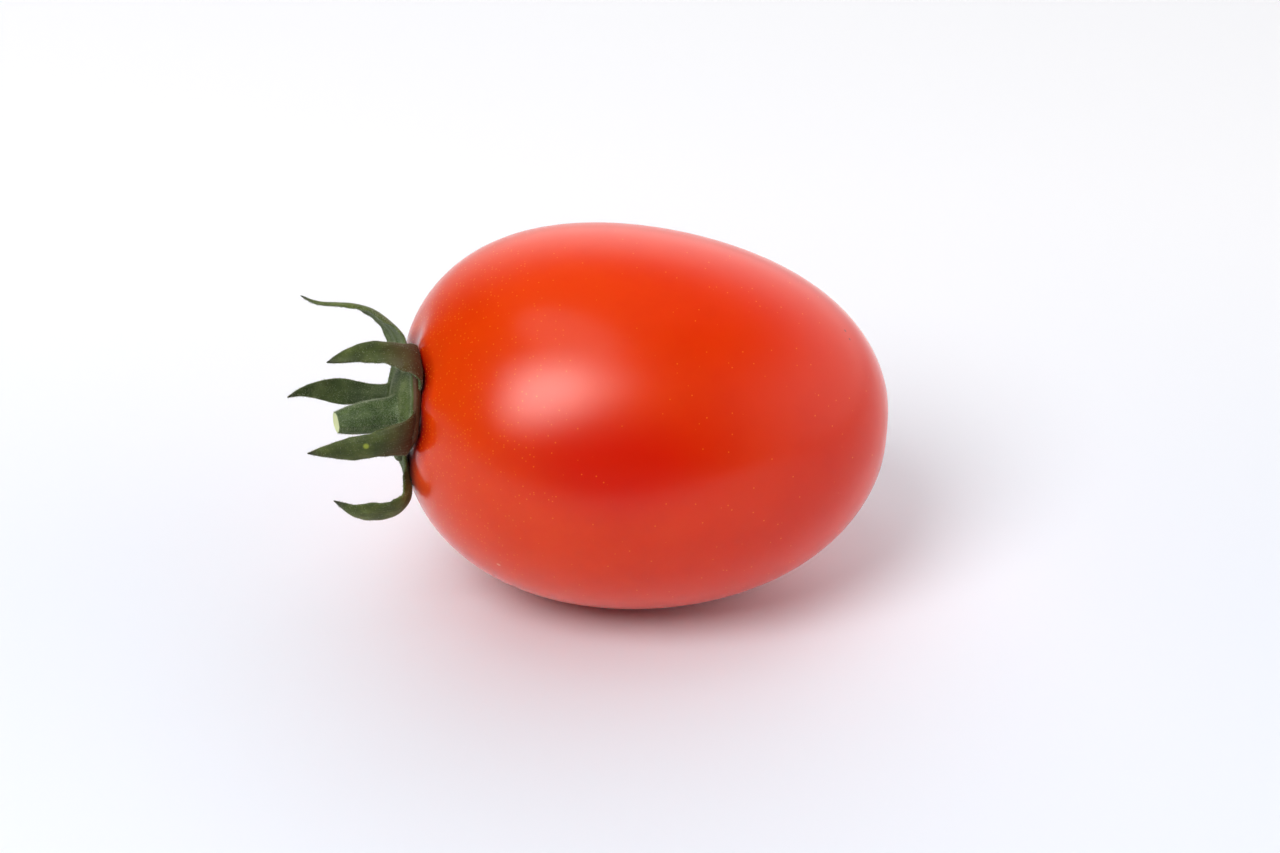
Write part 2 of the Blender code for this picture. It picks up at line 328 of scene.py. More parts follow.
# Light: the glow's middle, the cosines between which it grows from nothing to full, and the sines
# of the heights between which it fades
GLOW_WAY = (0.743, 0.669, 0.0)
GLOW_SIDES = (-0.3, 0.75)
GLOW_FADE = (0.42, 0.88)
GLOW_LEVEL = 1.45
ROOM_LEVEL = 0.02

# Floor: the card ends in grey a little outside the picture's frame, in front and to the left, with
# the front edge slanting away to the right. Its white is painted light, whiter from front to back
# over
# CARD_PAINTED_LIGHT_RANGE and darker and bluer in front as painted shade.
FLOOR_HALF = 2.0
CARD_FRONT = -40 * MM
CARD_LEFT = -58 * MM
CARD_FADE = 32 * MM
CARD_SLANT = 0.8
CARD_LEFT_SHARE = 0.6
CARD_PAINTED_LIGHT_RANGE = (-10 * MM, 70 * MM)


def linear(code):
    """An sRGB hex colour as linear red, green, blue and alpha."""
    parts = [int(code[i : i + 2], 16) / 255 for i in (0, 2, 4)]
    return (*[p / 12.92 if p <= 0.04045 else ((p + 0.055) / 1.055) ** 2.4 for p in parts], 1.0)


# Shapes


def skin(name, rings, poles, material, tags=None):
    """A closed mesh from rings of points, shape (rings, sides, 3), and a pole point at each end.

    Quads join neighbouring rings and a fan closes each end. tags holds (along, across, side, tone)
    for each point of the rings, kept as the colour attribute "place_on_piece".
    """
    count, sides = rings.shape[:2]
    index = np.arange(count * sides).reshape(count, sides)
    ahead = np.roll(index, -1, axis=1)
    quads = np.stack([index[:-1], ahead[:-1], ahead[1:], index[1:]], axis=-1).reshape(-1, 4)
    first = np.stack([np.full(sides, count * sides), ahead[0], index[0]], axis=-1)
    last = np.stack([np.full(sides, count * sides + 1), index[-1], ahead[-1]], axis=-1)
    corners = np.concatenate([quads.ravel(), first.ravel(), last.ravel()])
    sizes = np.concatenate([np.full(len(quads), 4), np.full(2 * sides, 3)])
    points = np.concatenate([rings.reshape(-1, 3), np.asarray(poles)])
    colours = None
    if tags is not None:
        ends = np.stack([tags[0].mean(axis=0), tags[-1].mean(axis=0)])
        colours = np.concatenate([tags.reshape(-1, 4), ends])
    return mesh_object(name, points, corners, sizes, material, colours)


def mesh_object(name, points, corners, sizes, material, colours=None):
    """An object at the origin from points, the faces' corner indices and the faces' sizes."""
    mesh = bpy.data.meshes.new(name)
    mesh.vertices.add(len(points))
    mesh.vertices.foreach_set("co", np.ascontiguousarray(points, dtype=np.float32).ravel())
    mesh.loops.add(len(corners))
    mesh.loops.foreach_set("vertex_index", corners.astype(np.int32))
    mesh.polygons.add(len(sizes))
    starts = np.concatenate([[0], np.cumsum(sizes)[:-1]])
    mesh.polygons.foreach_set("loop_start", starts.astype(np.int32))
    mesh.update(calc_edges=True)
    mesh.validate()
    work = bmesh.new()
    work.from_mesh(mesh)
    bmesh.ops.recalc_face_normals(work, faces=work.faces)
    work.to_mesh(mesh)
    work.free()
    if colours is not None:
        layer = mesh.attributes.new("place_on_piece", "FLOAT_COLOR", "POINT")
        layer.data.foreach_set("color", colours.astype(np.float32).ravel())
    mesh.shade_smooth()
    mesh.materials.append(material)
    obj = bpy.data.objects.new(name, mesh)
    bpy.context.scene.collection.objects.link(obj)
    return obj


def fruit_body(theta, phi):
    """The smooth fruit, from the stem end at theta 0 to the blossom end at pi, phi round its axis.

    With a = -cos(theta) the girth is R sin(theta) (1 - taper a + fullness a^2), the length L a and
    the axis sags by sag (1 - 2 a^2). All is tilted by the rest tilt, about the fruit's middle.
    """
    along = -np.cos(theta)
    girth = FRUIT_RADIUS * np.sin(theta) * (1 - BLOSSOM_TAPER * along + END_FULLNESS * along**2)
    length = FRUIT_HALF_LENGTH * along
    up = girth * np.cos(phi) - MIDDLE_SAG * (1 - 2 * along**2)
    x = length * math.cos(REST_TILT) + up * math.sin(REST_TILT)
    z = up * math.cos(REST_TILT) - length * math.sin(REST_TILT)
    return np.stack([x + 0 * phi, -girth * np.sin(phi), z], axis=-1) + FRUIT_MIDDLE


def seat_frame():
    """The calyx's seat in the hollow, and its directions: out along the stem, up and front."""
    place = np.array(HUB_FROM_POLE), np.array(HUB_ROUND_AXIS)
    step = 1e-4
    here = fruit_body(*place)
    down = fruit_body(place[0] + step, place[1]) - here
    around = fruit_body(place[0], place[1] + step) - here
    out = np.cross(around, down)
    out /= np.linalg.norm(out)
    if out @ (here - FRUIT_MIDDLE) < 0:
        out = -out
    up = np.array([0.0, 0.0, 1.0])
    up -= (up @ out) * out
    up /= np.linalg.norm(up)
    return here - (HOLLOW_DEPTH - SEAT_LIFT) * out, out, up, np.cross(up, out)


SEAT, OUT, UP, FRONT = seat_frame()


def with_relief(points):
    """The fruit's points moved for its relief, each term along the stem's or the blossom's axis.

    A Gaussian hollow lies under the calyx. Round it stand a Gaussian ring of cosine lobes times
    (0.5 + 0.5 cos(bearing))^focus, and a shoulder that is a Gaussian ring times
    0.5 + 0.5 cos(bearing), so both are strongest on one side. The blossom end has a Gaussian
    dimple, with a flat-topped scar in it as exp(-(radius / scar radius)^4).
    """
    offset = points - SEAT
    height, width = offset @ UP, offset @ FRONT
    radius = np.hypot(height, width)
    bearing = np.arctan2(width, height)
    ring = np.exp(-(((radius - LOBE_PLACE) / LOBE_SPREAD) ** 2))
    strength = (0.5 + 0.5 * np.cos(bearing - LOBES_STRONGEST)) ** LOBES_FOCUS
    lift = LOBE_HEIGHT * ring * strength * np.cos(LOBES * (bearing - LOBE_TURN))
    plateau = np.exp(-(((radius - SHOULDER_PLACE) / SHOULDER_SPREAD) ** 2))
    lift += SHOULDER_HEIGHT * plateau * (0.5 + 0.5 * np.cos(bearing - SHOULDER_TURN))
    from_hollow = np.hypot(height - HOLLOW_PLACE[0], width - HOLLOW_PLACE[1])
    lift -= HOLLOW_DEPTH * np.exp(-((from_hollow / HOLLOW_RADIUS) ** 2))
    at_stem = offset @ OUT > -FRUIT_HALF_LENGTH / 2
    moved = points + (lift * at_stem)[..., None] * OUT

    pole = fruit_body(np.array(math.pi), np.array(0.0))
    axis = (pole - FRUIT_MIDDLE) / np.linalg.norm(pole - FRUIT_MIDDLE)
    offset = points - pole
    radius = np.linalg.norm(offset - (offset @ axis)[..., None] * axis, axis=-1)
    lift = SCAR_HEIGHT * np.exp(-((radius / SCAR_RADIUS) ** 4))
    lift -= DIMPLE_DEPTH * np.exp(-((radius / DIMPLE_RADIUS) ** 2))
    at_blossom = offset @ axis > -FRUIT_HALF_LENGTH / 2
    return moved + (lift * at_blossom)[..., None] * axis


def resting(points):
    """The points with their height eased onto the floor: (z + sqrt(z^2 + edge^2)) / 2."""
    z = points[..., 2]
    eased = 0.5 * (z + np.sqrt(z**2 + REST_EDGE**2))
    return np.concatenate([points[..., :2], eased[..., None]], axis=-1)


def fruit_skin(material):
    """The fruit on a grid of rings from pole to pole, closer together near both ends.

    Ring by ring, theta is pi (share - crowding sin(2 pi share)).
    """
    share = (np.arange(FRUIT_RINGS) + 0.5) / FRUIT_RINGS
    theta = math.pi * (share - FRUIT_CROWDING * np.sin(2 * math.pi * share))
    phi = np.linspace(0, 2 * math.pi, FRUIT_SIDES, endpoint=False)
    grid = fruit_body(*np.meshgrid(theta, phi, indexing="ij"))
    poles = fruit_body(np.array([0.0, math.pi]), np.zeros(2))
    return skin("fruit_skin", resting(with_relief(grid)), with_relief(poles), material)


def resampled(profile, count):
    """Points at even steps along a polyline of (radius, height), its corners cut three times."""
    line = np.array(profile)
    for _ in range(3):
        middle = 0.75 * line[:-1] + 0.25 * line[1:]
        later = 0.25 * line[:-1] + 0.75 * line[1:]
        inner = np.stack([middle, later], axis=1).reshape(-1, 2)
        line = np.concatenate([line[:1], inner, line[-1:]])
    steps = np.linalg.norm(np.diff(line, axis=0), axis=1)
    way = np.concatenate([[0], np.cumsum(steps)])
    at = np.linspace(0, way[-1], count)
    return np.stack([np.interp(at, way, line[:, k]) for k in (0, 1)], axis=1)


def disc_grid():
    """The points and tags of the disc that carries the sepals: its profile turned about the stem.

    The rim reaches out towards each sepal and draws in between them, by the sum of
    exp(-(angle / spread)^2) over the sepals. A web joins the two front sepals in the same way. The
    bulge grows with (radius / rim radius)^6, so the middle of the disc stays round.
    """
    profile = resampled(DISC, DISC_RINGS) * MM
    bearings = np.linspace(0, 2 * math.pi, DISC_SIDES, endpoint=False)
    near = np.zeros_like(bearings)
    for sepal in SEPALS.values():
        gap = (bearings - math.radians(sepal[0]) + math.pi) % (2 * math.pi) - math.pi
        near += np.exp(-((gap / SEPAL_FOOT_SPREAD) ** 2))
    near += FRONT_WEB_HEIGHT * np.exp(-(((bearings - FRONT_WEB) / FRONT_WEB_SPREAD) ** 2))
    rim = np.minimum((profile[:, 0] / RIM_RADIUS) ** RIM_SHARPNESS, RIM_MOST)
    bulge = RIM_BULGE * rim[:, None] * (near[None, :] - RIM_MEAN)
    radius = profile[:, 0][:, None] * (1 + bulge)
    around = np.outer(np.cos(bearings), UP) + np.outer(np.sin(bearings), FRONT)
    rings = SEAT + profile[:, 1][:, None, None] * OUT + radius[..., None] * around
    poles = [SEAT + DISC[0][1] * MM * OUT, SEAT + DISC[-1][1] * MM * OUT]
    outer = np.linspace(0, 1, DISC_RINGS)[:, None] * np.ones(DISC_SIDES)
    flat = 0 * outer
    fruit_side = (outer < DISC_FRUIT_SIDE) + flat
    tags = np.stack([flat, 0.5 + flat, fruit_side, DISC_TONE + flat], axis=-1)
    return rings, poles, tags


def curve_through(points, count):
    """A smooth curve through points, at count even steps.

    On each stretch it is the cubic whose slope at a point is half the step between that point's
    two neighbours. Beyond both ends the neighbours are mirrored.
    """
    known = np.array(points, dtype=float)
    padded = np.concatenate([[2 * known[0] - known[1]], known, [2 * known[-1] - known[-2]]])
    place = np.linspace(0, len(known) - 1, count)
    stretch = np.minimum(place.astype(int), len(known) - 2)
    t = place - stretch
    t = t.reshape((-1,) + (1,) * (known.ndim - 1))
    before, first, last, after = (padded[stretch + k] for k in range(4))
    return (
        (2 * t**3 - 3 * t**2 + 1) * first
        + (t**3 - 2 * t**2 + t) * (last - before) / 2
        + (3 * t**2 - 2 * t**3) * last
        + (t**3 - t**2) * (after - first) / 2
    )


def sepal_frame(degrees):
    """A sepal's directions: away from the stem and aside, round the stem."""
    bearing = math.radians(degrees)
    away = math.cos(bearing) * UP + math.sin(bearing) * FRONT
    aside = math.cos(bearing) * FRONT - math.sin(bearing) * UP
    return away, aside


def sepal_grid(sepal, number):
    """The points and tags of one blade: flat ellipses along the sepal's middle line.

    The edges roll in by roll v^2 and wave as v^4 sin(length). A rib of exp(-(v / spread)^2) stands
    along the middle of the stem side, with a groove half as deep on the fruit side. v runs from -1
    to 1 across the blade.
    """
    degrees, line, widths, turns, tone = sepal
    away, aside = sepal_frame(degrees)
    line = curve_through(line, BLADE_STATIONS) * MM
    centre = SEAT + line[:, :1] * away + line[:, 1:2] * OUT + line[:, 2:] * aside
    steps = np.linalg.norm(np.diff(centre, axis=0), axis=1)
    way = np.concatenate([[0], np.cumsum(steps)])
    even = np.linspace(0, way[-1], BLADE_STATIONS)
    centre = np.stack([np.interp(even, way, centre[:, k]) for k in range(3)], axis=1)
    share = np.linspace(0, 1, BLADE_STATIONS)
    tangent = np.gradient(centre, axis=0)
    tangent /= np.linalg.norm(tangent, axis=1)[:, None]
    across = aside - (tangent @ aside)[:, None] * tangent
    across /= np.linalg.norm(across, axis=1)[:, None]
    face = np.cross(tangent, across)
    turn = np.radians(curve_through(turns, BLADE_STATIONS))[:, None]
    across, face = (
        np.cos(turn) * across + np.sin(turn) * face,
        np.cos(turn) * face - np.sin(turn) * across,
    )
    width = np.maximum(curve_through(widths, BLADE_STATIONS), BLADE_LEAST_WIDTH)
    half_width = width[:, None] * MM / 2
    roll = half_width * curve_through(BLADE_ROLLS, BLADE_STATIONS)[:, None]
    half_thick = np.interp(share, BLADE_THICKNESS_AT, BLADE_THICKNESS_SHARE)
    half_thick = (BLADE_THICKNESS / 2 * half_thick)[:, None]
    half_thick = np.minimum(half_thick, BLADE_MOST_THICK * half_width)

    angle = np.linspace(0, 2 * math.pi, BLADE_ROUND, endpoint=False)
    v = np.cos(angle)[None, :]
    side = np.sin(angle)[None, :]
    length = even[:, None] / MM
    lift = half_thick * np.sign(side) * np.abs(side) ** BLADE_FULLNESS - roll * v**2
    wave = sum(
        high * np.sin(2 * math.pi * length / long + by_number * number + by_place * v)
        for high, long, by_number, by_place in WAVES
    )
    lift = lift + wave * MM * v**4 * np.sin(math.pi * share[:, None])
    rib = RIB_HEIGHT * np.exp(-((v / RIB_SPREAD) ** 2)) * (1 - share[:, None])
    lift = lift - np.where(side < 0, rib, 0.5 * rib)
    grid = centre[:, None, :] + (v * half_width)[..., None] * across[:, None, :]
    grid = grid + lift[..., None] * face[:, None, :]
    flat = np.zeros_like(lift)
    tags = np.stack(
        [share[:, None] + flat, 0.5 + 0.5 * v + flat, (side > 0) + flat, tone + flat], axis=-1
    )
    poles = [centre[0], centre[-1] + BLADE_TIP * tangent[-1]]
    return grid, poles, tags


def stem_grid():
    """The points and tags of the stub: ribbed circles along a quadratic curve that leans over.

    The flare at the foot adds flare * exp(-(reach / length)^power), the ribs are two cosines round
    the stem, and past the cut the rings close over its rim and sink a little towards its middle.
    """
    seat = SEAT + STEM_OFF_CENTRE[0] * UP + STEM_OFF_CENTRE[1] * FRONT
    away = np.array(STEM_AWAY) / np.linalg.norm(STEM_AWAY)
    foot = seat + STEM_START * OUT
    knee = seat + STEM_BEND * OUT
    cut = seat + STEM_LENGTH * away
    t = np.linspace(0, 1, STEM_RINGS)[:, None]
    centre = (1 - t) ** 2 * foot + 2 * t * (1 - t) * knee + t**2 * cut
    tangent = 2 * (1 - t) * (knee - foot) + 2 * t * (cut - knee)
    tangent /= np.linalg.norm(tangent, axis=1)[:, None]
    reach = np.linalg.norm(centre - foot, axis=1)[:, None]
    at = reach[:, 0] / reach[-1, 0]
    steps = np.linspace(0, 1, STEM_RADIUS_STEPS)
    radius = np.interp(at, steps, curve_through(STEM_RADII, STEM_RADIUS_STEPS))[:, None] * MM
    radius = radius + STEM_FLARE * np.exp(-((reach / STEM_FLARE_LENGTH) ** STEM_FLARE_POWER))
    upright = np.array([0.0, 0.0, 1.0]) - tangent[:, 2:3] * tangent
    upright /= np.linalg.norm(upright, axis=1)[:, None]
    beside = np.cross(tangent, upright)
    bearings = np.linspace(0, 2 * math.pi, STEM_SIDES, endpoint=False)[None, :]
    ribs = sum(high * np.cos(count * bearings + turn * t) for high, count, turn in STEM_RIBS)
    girth = radius * (1 + ribs)
    around = np.cos(bearings)[..., None] * upright[:, None, :]
    around = around + np.sin(bearings)[..., None] * beside[:, None, :]
    body = centre[:, None, :] + girth[..., None] * around
    inward, sunk, place = np.array(CUT_RINGS).T
    sunk = sunk[:, None, None] * MM
    cap = centre[-1] + sunk * tangent[-1] + inward[:, None, None] * (body[-1] - centre[-1])[None]
    grid = np.concatenate([body, cap])
    along = np.concatenate([CUT_START * at, place])
    flat = 0 * grid[..., 0]
    tags = np.stack([along[:, None] + flat, 0.5 + flat, flat, 1 + flat], axis=-1)
    poles = [foot, centre[-1] + CUT_MIDDLE * tangent[-1]]
    return grid, poles, tags


def hairs(name, patches, material):
    """Short straight hairs, each a three-sided spike on a random place of a patch.

    A patch is (grid of points, hairs, longest, chance) where chance weighs each grid point. A hair
    leans from the surface's normal by a random amount, and its root is sunk a little.
    """
    roots, ups, lengths = [], [], []
    for grid, count, longest, chance in patches:
        along = np.gradient(grid, axis=0)
        around = np.roll(grid, -1, axis=1) - np.roll(grid, 1, axis=1)
        normal = np.cross(around, along)
        normal /= np.linalg.norm(normal, axis=-1)[..., None] + 1e-12
        middle = grid.mean(axis=1, keepdims=True)
        sign = np.sign(np.sum(normal * (grid - middle), axis=-1).sum())
        normal *= sign
        weight = (chance / chance.sum()).ravel()
        picked = RNG.choice(weight.size, count, p=weight)
        ring, at = np.unravel_index(picked, chance.shape)
        mix_a, mix_b = RNG.random((2, count, 1))
        later = np.minimum(ring + 1, grid.shape[0] - 1)
        beside = (at + 1) % grid.shape[1]
        place = (1 - mix_a) * grid[ring, at] + mix_a * grid[later, at]
        place = place + mix_b * (grid[ring, beside] - grid[ring, at])
        lean = RNG.normal(0, HAIR_LEAN, (count, 3))
        up = normal[ring, at] + lean
        roots.append(place)
        ups.append(up / np.linalg.norm(up, axis=1)[:, None])
        lengths.append(longest * RNG.uniform(HAIR_SHORTEST, 1.0, count))
    root, up, length = np.concatenate(roots), np.concatenate(ups), np.concatenate(lengths)
    beside = np.cross(up, np.array((0.31, 0.52, 0.79)))
    beside /= np.linalg.norm(beside, axis=1)[:, None]
    other = np.cross(up, beside)
    turns = np.arange(3) * 2 * math.pi / 3
    base = root[:, None, :] + HAIR_THICKNESS * (
        np.cos(turns)[None, :, None] * beside[:, None, :]
        + np.sin(turns)[None, :, None] * other[:, None, :]
    )
    base = base - HAIR_ROOT * up[:, None, :]
    tip = root + length[:, None] * up
    points = np.concatenate([base, tip[:, None, :]], axis=1).reshape(-1, 3)
    faces = np.array((0, 1, 3, 1, 2, 3, 2, 0, 3, 2, 1, 0))
    corners = (4 * np.arange(len(root))[:, None] + faces).ravel()
    return mesh_object(name, points, corners, np.full(4 * len(root), 3), material)


# Materials


def node(tree, kind, values=None, links=None, stops=None, **settings):
    """Adds one node with its settings, its sockets' values and the sockets that feed it.

    Sockets go by name or by number. A Map Range takes its range in sockets 1 and 2 to that in 3 and
    4. A Mix of colours has its share in socket 0 and its two colours in 6 and 7.
    """
    made = tree.nodes.new(kind)
    for name, value in settings.items():
        setattr(made, name, value)
    for socket, value in (values or {}).items():
        made.inputs[socket].default_value = value
    for socket, source in (links or {}).items():
        tree.links.new(source, made.inputs[socket])
    if stops:
        ramp = made.color_ramp
        while len(ramp.elements) < len(stops):
            ramp.elements.new(0.5)
        for element, (place, colour) in zip(ramp.elements, stops):
            element.position = place
            element.color = colour
    return made


def new_material(name, **numbers):
    """A Principled material with constant numbers set on the shader's own sockets."""
    material = bpy.data.materials.new(name)
    material.use_nodes = True
    tree = material.node_tree
    shader = tree.nodes["Principled BSDF"]
    for socket, value in numbers.items():
        shader.inputs[socket.replace("_", " ")].default_value = value
    return material, tree, shader


def marked(tree, place, colour, mark):
    """A colour with one soft-edged spot of another colour about a point of the piece."""
    middle, radius, code = mark
    away = node(
        tree,
        "ShaderNodeVectorMath",
        values={1: tuple(c * MM for c in middle)},
        links={0: place},
        operation="DISTANCE",
    ).outputs["Value"]
    share = node(
        tree,
        "ShaderNodeMapRange",
        values={1: 0.5 * radius * MM, 2: radius * MM, 3: 0.8, 4: 0.0},
        links={0: away},
    ).outputs[0]
    return node(
        tree,
        "ShaderNodeMix",
        values={7: linear(code)},
        links={0: share, 6: colour},
        data_type="RGBA",
    ).outputs[2]


def ripe_tomato_skin():
    """Ripe tomato skin: a clear waxy film over red flesh, so white gloss over a deep colour.

    It is drawn dark red right under the calyx, painted shade in the crevice there, then orange
    round it and slowly redder further on, with soft redder patches and one deeper crimson band in
    front a little above mid height, painted shade where the gloss shows the dark room. Pale golden
    specks are denser round the stem. They are drawn about 0.1 mm wide, a little coarser than the
    real ones, to show.
    """
    material, tree, shader = new_material(
        "ripe_tomato_skin",
        Roughness=0.24,
        IOR=1.38,
        Subsurface_Weight=0.25,
        Subsurface_Scale=0.0022,
        Sheen_Weight=0.32,
        Sheen_Roughness=0.22,
    )
    shader.inputs["Subsurface Radius"].default_value = (1.0, 0.22, 0.08)
    place = node(tree, "ShaderNodeTexCoord").outputs["Object"]
    far = node(
        tree,
        "ShaderNodeVectorMath",
        values={1: tuple(SEAT)},
        links={0: place},
        operation="DISTANCE",
    ).outputs["Value"]
    share = node(
        tree,
        "ShaderNodeMapRange",
        values={1: SKIN_RANGE[0], 2: SKIN_RANGE[1], 3: 0.0, 4: 1.0},
        links={0: far},
    ).outputs[0]
    body = node(
        tree,
        "ShaderNodeValToRGB",
        links={0: share},
        stops=(
            # painted shade: dark red in the crevice right beside the calyx
            (0.04, linear("a80400")),
            (0.09, linear("f04400")),
            (0.35, linear("f24200")),
            (0.75, linear("ea3600")),
            (1.0, linear("e43000")),
        ),
    ).outputs[0]
    patches = node(
        tree,
        "ShaderNodeTexNoise",
        values={"Scale": 1 / SKIN_PATCH, "Detail": 5.0, "Roughness": 0.6},
        links={"Vector": place},
    ).outputs[0]
    patch_share = node(
        tree,
        "ShaderNodeMapRange",
        values={1: SKIN_PATCH_EDGE[0], 2: SKIN_PATCH_EDGE[1], 3: 0.0, 4: SKIN_PATCH_STRENGTH},
        links={0: patches},
    ).outputs[0]
    patched = node(
        tree,
        "ShaderNodeMix",
        values={7: linear("d41600")},
        links={0: patch_share, 6: body},
        data_type="RGBA",
    ).outputs[2]

    # Painted shade: a deeper crimson band in front, where the gloss shows the dark room
    from_shaded_band = node(
        tree,
        "ShaderNodeVectorMath",
        values={1: SHADED_BAND_PLACE},
        links={0: place},
        operation="SUBTRACT",
    ).outputs[0]
    from_shaded_band = node(
        tree,
        "ShaderNodeVectorMath",
        values={1: SHADED_BAND_SIZE},
        links={0: from_shaded_band},
        operation="DIVIDE",
    ).outputs[0]
    from_shaded_band = node(
        tree, "ShaderNodeVectorMath", links={0: from_shaded_band}, operation="LENGTH"
    ).outputs["Value"]
    shaded_band = node(
        tree,
        "ShaderNodeMapRange",
        values={1: SHADED_BAND_EDGE[0], 2: SHADED_BAND_EDGE[1], 3: SHADED_BAND_STRENGTH, 4: 0.0},
        links={0: from_shaded_band},
        interpolation_type="SMOOTHSTEP",
    ).outputs[0]
    patched = node(
        tree,
        "ShaderNodeMix",
        values={7: linear("e01200")},
        links={0: shaded_band, 6: patched},
        data_type="RGBA",
    ).outputs[2]

    cells = node(
        tree,
        "ShaderNodeTexVoronoi",
        values={"Scale": 1 / SPECK_CELL, "Randomness": 1.0},
        links={"Vector": place},
    )
    spot = node(
        tree,
        "ShaderNodeMapRange",
        values={1: SPECK_EDGE[0], 2: SPECK_EDGE[1], 3: 1.0, 4: 0.0},
        links={0: cells.outputs["Distance"]},
    ).outputs[0]
    luck = node(
        tree, "ShaderNodeSeparateColor", links={0: cells.outputs["Color"]}
    ).outputs[0]
    bar = node(
        tree,
        "ShaderNodeMapRange",
        values={1: SPECK_RANGE[0], 2: SPECK_RANGE[1], 3: SPECK_FREE[0], 4: SPECK_FREE[1]},
        links={0: far},
    ).outputs[0]
    chosen = node(
        tree, "ShaderNodeMath", links={0: luck, 1: bar}, operation="GREATER_THAN"
    ).outputs[0]
    speck = node(
        tree, "ShaderNodeMath", links={0: spot, 1: chosen}, operation="MULTIPLY"
    ).outputs[0]
    speck = node(
        tree,
        "ShaderNodeMath",
        values={1: SPECK_STRENGTH},
        links={0: speck},
        operation="MULTIPLY",
    ).outputs[0]
    colour = node(
        tree,
        "ShaderNodeMix",
        values={7: linear("ff7e20")},
        links={0: speck, 6: patched},
        data_type="RGBA",
    ).outputs[2]
    blossom_end = with_relief(fruit_body(np.array([math.pi]), np.zeros(1)))[0] / MM
    scar = (tuple(blossom_end), SCAR_RADIUS / MM, SCAR_COLOUR)
    for mark in (*MARKS, scar):
        colour = marked(tree, place, colour, mark)
    tree.links.new(colour, shader.inputs["Base Color"])

    fine = node(
        tree,
        "ShaderNodeTexNoise",
        values={"Scale": 1 / SKIN_GRAIN, "Detail": 2.0},
        links={"Vector": place},
    ).outputs[0]
    bump = node(
        tree,
        "ShaderNodeBump",
        values={"Strength": 0.05, "Distance": 0.05 * MM},
        links={"Height": fine},
    ).outputs[0]
    tree.links.new(bump, shader.inputs["Normal"])
    return material


